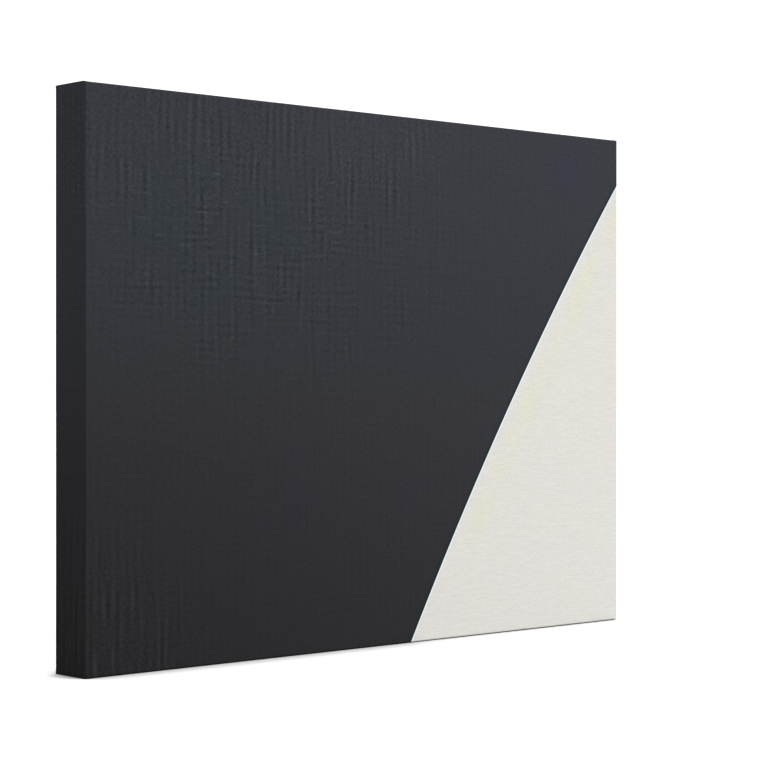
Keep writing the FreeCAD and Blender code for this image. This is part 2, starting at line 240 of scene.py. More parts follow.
def slubs(shader, place):
    """Thick and thin places along single threads, both ways."""
    warp = shader.noise(shader.stretch(place, (900, 70, 1)), detail=2, roughness=0.6)
    weft = shader.noise(shader.stretch(place, (70, 900, 1), offset=(3, 7, 0)),
                        detail=2, roughness=0.6)
    return shader.times(shader.add(warp, weft), 0.5)


def cloth_bump(shader, place, depth):
    """The weave's relief, over the coarser relief of its slubs."""
    coarse = shader.bump(slubs(shader, place), 0.25 * depth)
    return shader.bump(weave(shader, place), depth, below=coarse)


def ribs(shader, place, pitch, length, turn=0.0, seed=0.0):
    """Strokes side by side at a pitch, each a length long, about -1 to 1."""
    place = shader.stretch(place, (1, 1, 1), offset=(seed, seed, 0), turn=(0, 0, turn))
    across = shader.split(place)[0]
    drift = shader.noise(shader.stretch(place, (24, 9, 1)), detail=1)
    count = shader.add(shader.math("DIVIDE", across, pitch), shader.times(drift, 1.6))
    wave = shader.math("SINE", shader.times(count, 2 * math.pi))
    reach = shader.noise(
        shader.stretch(place, (0.8 / pitch, 0.8 / length, 1), offset=(3, 1, 4)), detail=1)
    return shader.times(wave, shader.times(shader.take(reach, 0.38), 4.0))


def patch(shader, place, centre, size, edge=0.5):
    """1 in an oval of the picture, falling to 0 past it."""
    offset = shader.node("VectorMath", place, (*centre, 0.0), operation="SUBTRACT").outputs[0]
    scaled = shader.node("VectorMath", offset, (1 / size[0], 1 / size[1], 0.0),
                         operation="MULTIPLY").outputs[0]
    far = shader.node("VectorMath", scaled, operation="LENGTH").outputs["Value"]
    return shader.span(far, 1 + edge, 1 - edge)


def multiply(shader, colour, gain):
    """Multiply a colour by one gain, or by one for each channel."""
    if not isinstance(gain, tuple):
        gain = (gain, gain, gain)
    return shader.blend(1.0, colour, shader.node("CombineColor", *gain).outputs[0], "MULTIPLY")


def colour_drifts(shader, place, dark):
    """Faint drifts of colour in parts of the dark field, and painted shade on the lower part of the
    left side.
    """
    soft = shader.noise(shader.stretch(place, (16, 11, 1), offset=(5, 1, 0)),
                        detail=4, roughness=0.65)
    rough_edge = shader.span(soft, 0.36, 0.64, 0.0, 1.0)
    teal = shader.times(patch(shader, place, (-0.18, 0.11), (0.105, 0.072)), rough_edge)
    blue = shader.times(patch(shader, place, (0.275, 0.19), (0.06, 0.035)), rough_edge)
    plum = shader.times(patch(shader, place, (-0.08, -0.11), (0.16, 0.07)), rough_edge)
    cool = patch(shader, place, (-0.38, 0.08), (0.06, 0.24), 0.3)
    # painted shade: darkens the lower part of the left side, as if less light fell there
    painted_side_shade = patch(shader, place, (-0.38, -0.20), (0.06, 0.13), 0.3)
    light = patch(shader, place, (-0.01, 0.205), (0.09, 0.035))
    dark = shader.tint(shader.times(teal, 0.8), dark, 0.90, 1.065, 0.99)
    dark = shader.tint(shader.times(blue, 0.9), dark, 0.92, 0.97, 1.16)
    dark = shader.tint(shader.times(plum, 0.8), dark, 1.02, 0.97, 1.06)
    dark = shader.tint(cool, dark, 1.02, 1.04, 1.08)
    # the painted shade on the lower left side
    dark = shader.tint(painted_side_shade, dark, 0.90, 0.93, 0.96)
    return shader.tint(light, dark, 1.07, 1.07, 1.07)


def brush_strokes(shader, place, dark):
    """Ribbed strokes in a worked patch and a corner of the dark field, and fainter ones elsewhere."""
    broken = shader.noise(shader.stretch(place, (24, 20, 1), offset=(4, 3, 6)),
                          detail=3, roughness=0.6)
    part = shader.span(broken, 0.38, 0.62)
    worked = shader.times(patch(shader, place, (-0.13, 0.185), (0.20, 0.10), 0.4),
                          shader.span(part, 0, 1, 0.45, 1.0))
    crossed = shader.times(patch(shader, place, (-0.12, 0.09), (0.15, 0.07), 0.6), part)
    corner = patch(shader, place, (-0.325, -0.225), (0.11, 0.095), 0.4)
    either = shader.math("MAXIMUM", worked, crossed)

    upright_gain = shader.add(shader.times(either, 0.20),
                              shader.add(shader.times(corner, 0.29), 0.03))
    upright = shader.times(ribs(shader, place, 8.2 * MM, 36 * MM), upright_gain)

    level_gain = shader.add(shader.times(crossed, 0.17), 0.03)
    level = shader.times(ribs(shader, place, 6.2 * MM, 30 * MM, math.pi / 2, 1.3), level_gain)
    dash = shader.noise(shader.stretch(place, (50, 420, 1), offset=(7, 2, 5)), detail=1)
    dash = shader.times(shader.span(dash, 0.62, 0.76, 0.0, 0.45),
                        patch(shader, place, (-0.15, 0.13), (0.15, 0.06), 0.5))
    level = shader.add(level, dash)

    grain = shader.noise(shader.stretch(place, (360, 400, 1)), detail=2, roughness=0.6)
    rough = shader.math("MAXIMUM", either, shader.times(corner, 0.9))
    grain_gain = shader.add(shader.times(rough, 0.85), 0.60)
    grain = shader.times(shader.take(grain, 0.5), grain_gain)

    gain = shader.add(shader.add(upright, level), shader.add(grain, 1.0))
    warm_gain = shader.add(gain, shader.times(upright, 0.26))
    cool_gain = shader.take(gain, shader.times(level, 0.3))
    return multiply(shader, dark, (warm_gain, gain, cool_gain))


def pale_field(shader, place, height, warm):
    """The pale field, with level brush marks and faint warm and cool drifts."""
    brush = shader.noise(shader.stretch(place, (60, 420, 1), offset=(9, 4, 0)),
                         detail=2, roughness=0.6)
    tooth = shader.noise(shader.stretch(place, (460, 520, 1)), detail=1)
    marks = shader.add(shader.times(shader.take(brush, 0.5), 0.16),
                       shader.times(shader.take(tooth, 0.5), 0.22))
    pale = shader.ramp(height, PALE_FIELD)
    pale = shader.tint(shader.span(warm, 0.53, 0.75, 0, 0.6), pale, 1.0, 1.0, 0.95)
    pale = shader.tint(shader.span(warm, 0.47, 0.30, 0, 0.6), pale, 0.975, 1.0, 1.0)
    return multiply(shader, pale, shader.add(marks, 1.0))


def meet_at_curve(shader, place, dark, pale, warm):
    """Both fields in one, with thin dark and light lines along the curve where they meet."""
    from_centre = shader.node("VectorMath", place, (*DISC_CENTRE, 0.0),
                              operation="DISTANCE").outputs["Value"]
    inside = shader.take(DISC_RADIUS, from_centre)
    dark = shader.tint(shader.span(inside, -6 * MM, -3 * MM), dark, 0.84, 0.96, 0.95)
    dark = shader.blend(shader.times(shader.span(inside, -2.2 * MM, -0.8 * MM), 0.75),
                        dark, srgb(8, 30, 35))
    pale = shader.tint(shader.span(inside, 10 * MM, 2 * MM), pale, 0.98, 1.01, 1.05)
    yellowed = shader.times(shader.span(inside, 5 * MM, 16 * MM),
                            shader.span(inside, 42 * MM, 20 * MM))
    yellowed = shader.times(yellowed, shader.span(warm, 0.40, 0.58))
    pale = shader.tint(yellowed, pale, 1.0, 1.01, 0.92)
    pale = shader.blend(shader.times(shader.span(inside, 1.9 * MM, 0.9 * MM), 0.9),
                        pale, srgb(238, 245, 248))
    return shader.blend(shader.span(inside, -0.2 * MM, 0.2 * MM), dark, pale)


def printed_cloth():
    """The picture: a dark field that deepens downwards, and a pale field beyond a long curve."""
    shader = Shader("canvas_print", Roughness=0.72, Specular_IOR_Level=PRINT_SHINE)
    place = shader.place("sheet")
    across, up = shader.split(place)[:2]
    height = shader.span(up, -HALF_HEIGHT, HALF_HEIGHT, smooth=False)
    slope = shader.ramp(height, BRIGHTER_RIGHT)
    dark = shader.ramp(height, DARK_FIELD)
    dark = multiply(shader, dark, shader.add(shader.times(across, slope), 1.0))
    dark = colour_drifts(shader, place, dark)
    dark = brush_strokes(shader, place, dark)
    warm = shader.noise(shader.stretch(place, (26, 18, 1), offset=(3, 3, 3)), detail=3)
    pale = pale_field(shader, place, height, warm)
    picture = meet_at_curve(shader, place, dark, pale, warm)

    # Bare primed cloth past the print.
    past_side = shader.take(shader.math("ABSOLUTE", across), HALF_WIDTH)
    past_end = shader.take(shader.math("ABSOLUTE", up), HALF_HEIGHT)
    beyond = shader.math("MAXIMUM", past_side, past_end)
    limit = DEPTH + BARE_MARGIN
    bare = shader.span(beyond, limit - PRINT_EDGE, limit + PRINT_EDGE)
    shader.colour(shader.blend(bare, picture, srgb(236, 234, 228)))
    shader.normal(cloth_bump(shader, place, PRINTED_RELIEF))
    return shader.material


def raw_cloth():
    """The unprinted side of the cloth."""
    shader = Shader("canvas_reverse", Roughness=0.9, Specular_IOR_Level=0.12)
    place = shader.place("sheet")
    thread = slubs(shader, place)
    tone = shader.ramp(thread, (
        (0.30, srgb(212, 204, 186)),
        (0.5, srgb(224, 217, 201)),
        (0.70, srgb(234, 228, 214)),
    ))
    seed = shader.noise(place, scale=420, detail=1)
    tone = shader.blend(shader.span(seed, 0.74, 0.80, 0, 0.8), tone, srgb(150, 128, 92))
    cloud = shader.noise(place, scale=9, detail=3)
    tone = shader.blend(shader.span(cloud, 0.5, 0.75, 0, 0.35), tone, srgb(214, 206, 188))
    # painted shade: the cloth is darker where the weave lies low, in the hollows between threads
    weave_hollow_shade = shader.span(weave(shader, place), 0.15, 0.7, 0.72, 1.0)
    shader.colour(multiply(shader, tone, weave_hollow_shade))
    shader.normal(cloth_bump(shader, place, RAW_RELIEF))
    return shader.material


# Wood, metal and rubber ---------------------------------------------------------------------

PITH = (0.085, 0.03)               # how far a bar was cut from the middle of its tree
RING_PITCH = 3.6 * MM
RING_WANDER = 0.034                # how far a ring strays along the bar
WOOD_RELIEF = 0.10 * MM


def along_grain(shader, axis, offset):
    """The piece's own place, turned so that X runs with the grain."""
    place = shader.place()
    if axis == "Z":
        place = shader.stretch(place, (1, 1, 1), turn=(0, math.pi / 2, 0))
    return shader.stretch(place, (1, 1, 1), offset=offset)


def pine(name, axis, offset):
    """Planed pine: pale earlywood, amber latewood lines and fine fibre along the bar."""
    shader = Shader(name, Specular_IOR_Level=0.3)
    place = along_grain(shader, axis, offset)
    bend = shader.noise(shader.stretch(place, (2.6, 11, 11)), detail=2)
    y, z = shader.split(place)[1:]
    wander = shader.times(shader.take(bend, 0.5), RING_WANDER)
    radius = shader.math("SQRT", shader.add(
        shader.math("POWER", shader.add(y, PITH[0]), 2.0),
        shader.math("POWER", shader.add(z, PITH[1]), 2.0)))
    radius = shader.add(radius, wander)
    seasons = shader.node("TexNoise", noise_dimensions="1D")
    shader.put(radius, seasons.inputs["W"])
    seasons.inputs["Scale"].default_value = 110
    seasons.inputs["Detail"].default_value = 1
    years = shader.add(shader.math("DIVIDE", radius, RING_PITCH),
                       shader.times(seasons.outputs["Fac"], 2.2))
    rings = shader.math("FRACT", years)
    late = shader.times(shader.span(rings, 0.35, 0.93), shader.span(rings, 1.0, 0.93))
    late = shader.times(late, shader.span(bend, 0.25, 0.75, 0.35, 1.0))
    fibre = shader.noise(shader.stretch(place, (22, 1100, 1100)), detail=3, roughness=0.7)
    cloud = shader.noise(shader.stretch(place, (4, 26, 26)), detail=3)
    tone = shader.blend(shader.span(cloud, 0.3, 0.7), srgb(219, 191, 147), srgb(233, 210, 171))
    tone = shader.blend(shader.times(late, 0.62), tone, srgb(186, 140, 88))
    tone = shader.blend(shader.span(fibre, 0.55, 0.78, 0, 0.40), tone, srgb(170, 130, 88))
    shader.colour(tone)
    shader.put(shader.span(fibre, 0.3, 0.7, 0.52, 0.72), shader.surface.inputs["Roughness"])
    shader.normal(shader.bump(shader.take(fibre, shader.times(late, 0.3)), WOOD_RELIEF))
    return shader.material


def beech(name, axis, offset):
    """Sawn beech: even, pinkish, with short dark flecks."""
    shader = Shader(name, Roughness=0.7, Specular_IOR_Level=0.25)
    place = along_grain(shader, axis, offset)
    cloud = shader.noise(shader.stretch(place, (40, 120, 120)), detail=3)
    flecks = shader.noise(shader.stretch(place, (320, 1700, 1700)), detail=1)
    saw = shader.noise(shader.stretch(place, (1500, 60, 60)), detail=2)
    tone = shader.blend(shader.span(cloud, 0.3, 0.7), srgb(196, 152, 112), srgb(215, 174, 134))
    tone = shader.blend(shader.span(flecks, 0.60, 0.68, 0, 0.7), tone, srgb(160, 116, 80))
    shader.colour(tone)
    shader.normal(shader.bump(shader.add(saw, cloud), WOOD_RELIEF))
    return shader.material


def metal(name, tint, dark_tint, roughness, streak):
    """Thin worked metal, with drawn or rolled marks and a dull mottle."""
    shader = Shader(name, Metallic=1.0)
    place = shader.place()
    mottle = shader.noise(place, scale=900, detail=3, roughness=0.6)
    marks = shader.noise(shader.stretch(place, streak), detail=3, roughness=0.6)
    shader.colour(shader.blend(shader.span(mottle, 0.30, 0.70), dark_tint, tint))
    low, high = roughness
    shader.put(shader.span(marks, 0.3, 0.7, low, high), shader.surface.inputs["Roughness"])
    shader.normal(shader.bump(marks, 0.02 * MM))
    return shader.material


def rubber():
    """Moulded rubber with a matt skin."""
    shader = Shader("bumper_rubber", Roughness=0.6, Specular_IOR_Level=0.35)
    place = shader.place()
    skin = shader.noise(place, scale=2600, detail=2)
    dust = shader.noise(place, scale=240, detail=4)
    shader.colour(shader.blend(shader.span(dust, 0.45, 0.75, 0, 0.5),
                               srgb(30, 30, 31), srgb(58, 57, 56)))
    shader.put(shader.span(dust, 0.35, 0.7, 0.5, 0.75), shader.surface.inputs["Roughness"])
    shader.normal(shader.bump(skin, 0.04 * MM))
    return shader.material


# The cloth ----------------------------------------------------------------------------------

HALF_ARC = math.pi / 4 * (EASE + REST + CLOTH / 2)       # half the cloth round an eased edge
FLAT_SIDE = DEPTH - 2 * EASE
BACK_START = 3 * HALF_ARC + FLAT_SIDE                    # where the cloth lies flat on the back
EDGE = DEPTH + TURNED - EASE                             # where it was cut
HALF_TURN = math.pi / 4 * (TIGHT + CLOTH / 2)            # half the cloth round a sharp corner
TURN_CENTRE = REST - TIGHT
TURN_AT = TURN_CENTRE + HALF_TURN - HALF_ARC + EASE
FOLD_CENTRE = REST + CLOTH / 2 - LAYER / 2               # a fold that ends flush with the side
FOLD_START = FOLD_CENTRE - HALF_ARC + EASE
FOLD_END = FOLD_START + math.pi * LAYER / 2
RAMP = 3.0 * MM                                          # cloth comes down off a fold over this
SLANT = 0.32                                             # the ends of the upper flaps are cut back
HAND_CUT = 0.7 * MM                                      # how wavy the cut edges are
STAND_OFF = 0.55 * MM                                    # air under a flap's edge between staples
CORNER_FREE = 14 * MM                                    # the slant comes in over this


def ease(x):
    """0 up to 0, 1 from 1, and smooth between."""
    x = np.clip(x, 0, 1)
    return x * x * (3 - 2 * x)


def straight(u):
    """How far out a point is that lies u past the front edge, if the cloth doesn't turn there."""
    return u + HALF_ARC - EASE


def over_edges(u, lift):
    """How far out and back a point is that lies u past the front edge, and its turn onto the back."""
    first = np.clip((u + HALF_ARC) / (2 * HALF_ARC), 0, 1) * math.pi / 2
    second = np.clip((u - HALF_ARC - FLAT_SIDE) / (2 * HALF_ARC), 0, 1) * math.pi / 2
    radius = EASE + lift
    out = radius * np.sin(first) * np.cos(second) - EASE
    out += np.minimum(u + HALF_ARC, 0) - np.maximum(u - BACK_START, 0)
    back = EASE - radius * np.cos(first) + radius * np.sin(second)
    back += np.clip(u - HALF_ARC, 0, FLAT_SIDE)
    return out, back, second / (math.pi / 2)


def side_cloth(a, b, h):
    """The layer that wraps a side and then turns under the fold: out, back and up of the corner."""
    base = REST + CLOTH / 2 + h
    out, back, _ = over_edges(a, base)
    up, up_back, _ = over_edges(b, base)
    theta = np.clip((b - TURN_AT + HALF_TURN) / (2 * HALF_TURN), 0, 1) * math.pi / 2
    radius = TIGHT + CLOTH / 2 + h
    tight_up = TURN_CENTRE + np.minimum(b - TURN_AT + HALF_TURN, 0) + radius * np.sin(theta)
    tucked = radius * (1 - np.cos(theta)) + np.maximum(b - TURN_AT - HALF_TURN, 0)
    share = ease((a + HALF_ARC) / (2 * HALF_ARC))
    back = np.maximum(back, np.where(b < HALF_ARC, up_back, -1))
    return out - share * tucked, back, up + share * (tight_up - up)


def top_cloth(a, b, h):
    """The layer that wraps the top or bottom over the fold, turns back at the side and goes under."""
    formed = ease((b - HALF_ARC) / RAMP)
    phi = np.clip((a - FOLD_START) / (FOLD_END - FOLD_START), 0, 1) * math.pi
    inward = -straight(a)
    depth = np.clip(b, 0, DEPTH)
    on_fold = ease((depth - inward) / RAMP + 1)
    on_flap = ease((TURNED + EASE - inward) / RAMP + 1)
    turned = over_edges(b, 0)[2]
    height = LAYER * formed * (1.5 + 0.5 * np.cos(phi)) * on_fold * (1 - turned)
    height += LAYER * on_flap * turned
    lift = REST + CLOTH / 2 + height + h * np.cos(phi)
    up, back, _ = over_edges(b, lift)
    out = np.where(a < FOLD_START, straight(a),
                   FOLD_CENTRE + (LAYER / 2 * formed + h) * np.sin(phi)
                   - np.maximum(a - FOLD_END, 0))
    rounded, rounded_back, _ = over_edges(a, REST + CLOTH / 2 + h)
    share = ease((b + HALF_ARC) / (2 * HALF_ARC))
    least = np.where(a < HALF_ARC, rounded_back, -1) * (b < HALF_ARC) - (b >= HALF_ARC)
    back = np.maximum(back, least)
    return rounded + share * (out - rounded), back, up


def folded(a, b, h):
    """Where cloth a past one edge and b past the next one lies, once the corner is folded."""
    share = ease((b - a) / (0.6 * MM) + 0.5)
    first = side_cloth(a, b, h)
    second = top_cloth(a, b, h)
    return [p + share * (q - p) for p, q in zip(first, second)]


def cut_lines():
    """How far past the front edge the cloth's grid lines run, the same both ways."""
    lines = list(np.linspace(-HALF_ARC, HALF_ARC, 7))
    lines += list(np.linspace(TURN_AT - HALF_TURN, TURN_AT + HALF_TURN, 6))
    lines += list(np.linspace(FOLD_START, FOLD_END, 8))
    lines += [HALF_ARC + d * MM for d in (0.5, 1.2, 2.2, 3.6, 5.5, 8)]
    lines += list(np.linspace(HALF_ARC + 11 * MM, HALF_ARC + FLAT_SIDE, 10))
    lines += list(np.linspace(HALF_ARC + FLAT_SIDE, BACK_START, 7))
    lines += list(np.linspace(BACK_START + 1.5 * MM, EDGE, 9))
    lines = sorted(lines)
    return [lines[0]] + [b for a, b in zip(lines, lines[1:]) if b - a > 0.02 * MM]


def sheet_lines(half, spacing, corner, corner_spacing):
    """All the grid lines one way, from one cut edge of the sheet to the other."""
    lines = cut_lines()
    inner_end = half + lines[0]
    fine_start = inner_end - corner
    inner = list(np.linspace(0, fine_start, round(fine_start / spacing) + 1))
    inner += list(np.linspace(fine_start, inner_end, round(corner / corner_spacing) + 1))[1:-1]
    positive = inner + [half + u for u in lines]
    return np.array([-x for x in positive[:0:-1]] + positive)


def ripple(along, seed):
    """A slow random wave, about -1 to 1, along an edge."""
    return np.array([noise.noise(Vector((x / (21 * MM), seed, 0)))
                     + 0.5 * noise.noise(Vector((x / (6 * MM), seed, 9)))
                     for x in along])


def make_cloth():
    """The whole sheet, cut flat, then wrapped round the frame. Returns the piece and its flat area."""
    s_lines = sheet_lines(HALF_WIDTH, 6 * MM, 48 * MM, 1.6 * MM)
    t_lines = sheet_lines(HALF_HEIGHT, 6 * MM, 30 * MM, 3 * MM)
    s, t = np.meshgrid(s_lines, t_lines, indexing="ij")
    sign_s = np.where(s < 0, -1.0, 1.0)
    sign_t = np.where(t < 0, -1.0, 1.0)
    a = np.abs(s) - HALF_WIDTH
    b = np.abs(t) - HALF_HEIGHT

    # Hand-cut edges: a little wavy, and the upper flaps' ends slant back.
    wave_t = np.array([ripple(s_lines, seed) for seed in (1.5, 2.5)])
    wave_s = np.array([ripple(t_lines, seed) for seed in (3.5, 4.5)])
    loose_a = np.clip((a - DEPTH - STAPLE_LINE) / (EDGE - DEPTH - STAPLE_LINE), 0, 1)
    loose_b = np.clip((b - DEPTH - STAPLE_LINE) / (EDGE - DEPTH - STAPLE_LINE), 0, 1)
    a_cut = a + HAND_CUT * loose_a * np.where(sign_s > 0, wave_s[0], wave_s[1])
    b_cut = b + HAND_CUT * loose_b * np.where(sign_t > 0, wave_t[0][:, None], wave_t[1][:, None])
    slant = SLANT * np.maximum(b - BACK_START, 0)
    a_cut = a_cut - slant * ease((a + CORNER_FREE) / CORNER_FREE) * (a < FOLD_START + 1e-9)

    # Between staples the free edge stands off the wood a little.
    def stand_off(loose, along):
        between = 0.5 - 0.5 * np.cos(2 * math.pi * along / STAPLE_PITCH)
        return STAND_OFF * loose ** 2 * between

    shells = []
    for h in (CLOTH / 2, -CLOTH / 2):
        out, back, up = folded(a_cut, b_cut, h)
        free = ease(-(b + 26 * MM) / (12 * MM))
        back = back + stand_off(loose_b, s) + free * stand_off(loose_a, t - STAPLE_PITCH / 2)
        x = sign_s * (HALF_WIDTH + out)
        z = MIDDLE + sign_t * (HALF_HEIGHT + up)
        shells.append(np.stack([x, FRONT + back, z], axis=-1))
    flat = np.stack([sign_s * (HALF_WIDTH + a_cut), sign_t * (HALF_HEIGHT + b_cut)], axis=-1)

    # The cells that are left once the corners are cut out.
    centre_a = np.abs((s_lines[1:] + s_lines[:-1]) / 2)[:, None] - HALF_WIDTH
    centre_b = np.abs((t_lines[1:] + t_lines[:-1]) / 2)[None, :] - HALF_HEIGHT
    past_back = HALF_ARC + FLAT_SIDE
    gone = (centre_a > past_back) & (centre_b > TURN_AT + HALF_TURN)
    gone |= (centre_a > BACK_START) & (centre_b > TURN_AT - HALF_TURN)
    gone |= (centre_b > past_back) & (centre_a > FOLD_START)
    return cloth_mesh(shells, flat, ~gone)


def cloth_mesh(shells, flat, kept):
    """A closed mesh from the outer and inner shells, with the raw edge between them."""
    columns, rows = flat.shape[:2]
    index = np.arange(columns * rows).reshape(columns, rows)
    cells = np.argwhere(kept)
    corners = [index[cells[:, 0] + i, cells[:, 1] + j] for i, j in ((0, 0), (1, 0), (1, 1), (0, 1))]
    outer = np.stack(corners, axis=1)
    below = columns * rows
    inner = outer[:, ::-1] + below
    edges = np.concatenate([outer[:, [k, (k + 1) % 4]] for k in range(4)])
    present = {tuple(edge) for edge in edges.tolist()}
    rim = np.array([(q, p, p + below, q + below) for p, q in present if (q, p) not in present])
    faces = np.concatenate([outer, inner, rim])
    used, compact = np.unique(faces, return_inverse=True)
    points = np.concatenate([shell.reshape(-1, 3) for shell in shells])[used]
    places = np.tile(flat.reshape(-1, 2), (2, 1))[used]

    mesh = bpy.data.meshes.new("canvas_cloth")
    mesh.from_pydata(points.tolist(), [], compact.reshape(faces.shape).tolist())
    sheet = mesh.attributes.new("sheet", "FLOAT_VECTOR", "POINT")
    sheet.data.foreach_set("vector", np.c_[places, np.zeros(len(places))].astype(np.float32).ravel())
    mesh.polygons.foreach_set("use_smooth", [True] * len(faces))
    slots = np.zeros(len(faces), np.int32)
    slots[len(outer):] = 1
    mesh.polygons.foreach_set("material_index", slots)
    rim_edges = {tuple(sorted(pair)) for p, q, r, w in compact.reshape(faces.shape)[-len(rim):].tolist()
                 for pair in ((p, q), (r, w))}
    for edge in mesh.edges:
        edge.use_edge_sharp = tuple(sorted(edge.vertices)) in rim_edges
    piece = bpy.data.objects.new("canvas_cloth", mesh)
    bpy.context.scene.collection.objects.link(piece)

    shape = flat.reshape(-1, 2)[outer]
    following = np.roll(shape, -1, axis=1)
    cross = shape[..., 0] * following[..., 1] - shape[..., 1] * following[..., 0]
    return piece, float(np.abs(cross.sum(axis=1)).sum() / 2)


canvas, cut_area = make_cloth()
canvas.data.materials.append(printed_cloth())
canvas.data.materials.append(raw_cloth())
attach(canvas, "frame")
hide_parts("canvas")


# Staples ------------------------------------------------------------------------------------

STAPLE_WIDE = 1.2 * MM
STAPLE_THICK = 0.55 * MM
STAPLE_BEND = 0.55 * MM
STAPLE_LEG = 7.5 * MM
STAPLE_SQUARE = 0.45       # how square the wire's section is: 1 is an oval, 0 a box
CROWN_DEPTH = 0.6 * MM     # from the CAD crown's outside to the seat


def separate_solids(node):
    """The points of each separate solid in a CAD node, in an order that is the same each run."""
    mesh = bmesh.new()
    mesh.from_mesh(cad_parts[node].data)
    bmesh.ops.remove_doubles(mesh, verts=mesh.verts, dist=0.001 * MM)
    mesh.verts.index_update()
    seen = set()
    solids = []
    for start in mesh.verts:
        if start.index in seen:
            continue
        seen.add(start.index)
        found = [start]
        for vertex in found:                # it grows as its neighbours are met
            for edge in vertex.link_edges:
                other = edge.other_vert(vertex)
                if other.index not in seen:
                    seen.add(other.index)
                    found.append(other)
        solids.append([v.co.copy() for v in found])
    mesh.free()
    return sorted(solids, key=lambda points: (min(p.x for p in points), min(p.z for p in points)))


def add_staple(mesh, seat, along, half_crown, lean):
    """Add one bent wire: a crown that lies on its seat and two legs in the wood."""
    down = Vector((0, -1, 0))
    across = along.cross(down).normalized()
    path = [(-half_crown, STAPLE_LEG)]
    for step in range(5):
        angle = math.pi / 2 * step / 4
        path.append((-half_crown + STAPLE_BEND * (1 - math.cos(angle)),
                     STAPLE_BEND * (1 - math.sin(angle))))
    path += [(-x, depth) for x, depth in reversed(path)]
    round_x, round_y = STAPLE_WIDE / 2, STAPLE_THICK / 2
    section = [(round_x * math.copysign(abs(math.cos(w)) ** STAPLE_SQUARE, math.cos(w)),
                round_y * math.copysign(abs(math.sin(w)) ** STAPLE_SQUARE, math.sin(w)))
               for w in (math.pi * (k + 0.5) / 6 for k in range(12))]
    loops = []
    for number, (x, depth) in enumerate(path):
        before, after = path[max(number - 1, 0)], path[min(number + 1, len(path) - 1)]
        run = along * (after[0] - before[0]) + down * (after[1] - before[1])
        outward = run.cross(across).normalized()
        centre = (seat + along * x + down * (depth - STAPLE_THICK / 2)
                  + across * (lean * depth))
        loops.append([mesh.verts.new(centre + across * wide + outward * thick)
                      for wide, thick in section])
    count = len(section)
    for first, second in zip(loops, loops[1:]):
        for k in range(count):
            mesh.faces.new((first[k], first[(k + 1) % count], second[(k + 1) % count], second[k]))
    mesh.faces.new(loops[0][::-1])
    mesh.faces.new(loops[-1])


def make_staples(side, finish):
    """The staples of one bar, each where the frame has it but a little out of true."""
    dice = random.Random(f"staples {side}")
    mesh = bmesh.new()
    for points in separate_solids(f"staples_{side}"):
        top = max(p.y for p in points)
        crown = [p for p in points if p.y > top - 0.05 * MM]
        middle = sum(crown, Vector()) / len(crown)
        far = max(crown, key=lambda p: (p - middle).length)
        along = Vector((far.x - middle.x, 0, far.z - middle.z))
        sideways = along.normalized().cross(Vector((0, 1, 0)))
        narrow = max(abs((p - middle).dot(sideways)) for p in crown)
        half_crown = math.sqrt(max((far - middle).length_squared - narrow ** 2, 0))
        half_crown -= STAPLE_THICK / 2
        along = max(DIRECTIONS, key=lambda way: abs(along.normalized().dot(way)))
        angle = math.radians(dice.gauss(0, 2.5))
        along = Vector((along.x * math.cos(angle) + along.z * math.sin(angle), 0,
                        along.z * math.cos(angle) - along.x * math.sin(angle)))
        shift = Vector((dice.uniform(-1, 1), 0, dice.uniform(-1, 1))) * MM
        shift.y = -0.12 * MM - 0.08 * MM * dice.random()
        seat = Vector((middle.x, top - CROWN_DEPTH, middle.z)) + shift
        add_staple(mesh, seat, along, half_crown, dice.uniform(-0.02, 0.02))
    bmesh.ops.recalc_face_normals(mesh, faces=mesh.faces)
    data = bpy.data.meshes.new(f"driven_staples_{side}")
    mesh.to_mesh(data)
    mesh.free()
    data.polygons.foreach_set("use_smooth", [True] * len(data.polygons))
    piece = bpy.data.objects.new(f"driven_staples_{side}", data)
    bpy.context.scene.collection.objects.link(piece)
    data.materials.append(finish)
    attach(piece, "frame")
    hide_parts(f"staples_{side}")


DIAGONAL = math.sqrt(0.5)
DIRECTIONS = [             # the ways a crown can lie: level, upright, and across a corner
    Vector((1, 0, 0)),
    Vector((0, 0, 1)),
    Vector((DIAGONAL, 0, DIAGONAL)),
    Vector((DIAGONAL, 0, -DIAGONAL)),
]
staple_steel = metal("staple_steel", srgb(206, 206, 208), srgb(168, 168, 172),
                     roughness=(0.22, 0.42), streak=(900, 900, 900))
for side in SIDES:
    make_staples(side, staple_steel)


# Finishes of the pieces that stay as the frame has them -------------------------------------

def dress(node, material, bevel=None):
    """Give a CAD node its material, and take the knife edge off it."""
    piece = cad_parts[node]
    piece.data.materials.clear()
    piece.data.materials.append(material)
    if bevel:
        modifier = piece.modifiers.new("edges", "BEVEL")
        modifier.width = bevel
        modifier.segments = 2
        modifier.limit_method = "ANGLE"
        modifier.angle_limit = math.radians(40)
        modifier.harden_normals = True


for number, side in enumerate(SIDES):
    axis = "X" if side in ("top", "bottom") else "Z"
    bar_shift = (0.7 * number, 0.013 * number, 0.021 * number)
    dress(f"stretcher_bar_{side}", pine(f"pine_{side}", axis, bar_shift))
    key_axis = "Z" if axis == "X" else "X"
    key_shift = (0.11 * number, 0.02 * number, 0.07 * number)
    key_wood = beech(f"beech_{side}", key_axis, key_shift)
    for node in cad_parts:
        if node.startswith(f"key_{side}_bar"):
            dress(node, key_wood, bevel=0.25 * MM)

zinc = metal("zinc_plate", srgb(200, 201, 205), srgb(186, 188, 194),
             roughness=(0.28, 0.48), streak=(60, 900, 900))
nail_steel = metal("nail_steel", srgb(186, 184, 180), srgb(150, 148, 146),
                   roughness=(0.3, 0.5), streak=(900, 300, 900))
dress("sawtooth_hanger", zinc, bevel=0.12 * MM)
for node in ("hanger_nail_left", "hanger_nail_right"):
    dress(node, nail_steel, bevel=0.12 * MM)
bumper_rubber = rubber()
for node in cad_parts:
    if node.startswith("bumper_"):
        dress(node, bumper_rubber)


# Floor, light and camera --------------------------------------------------------------------

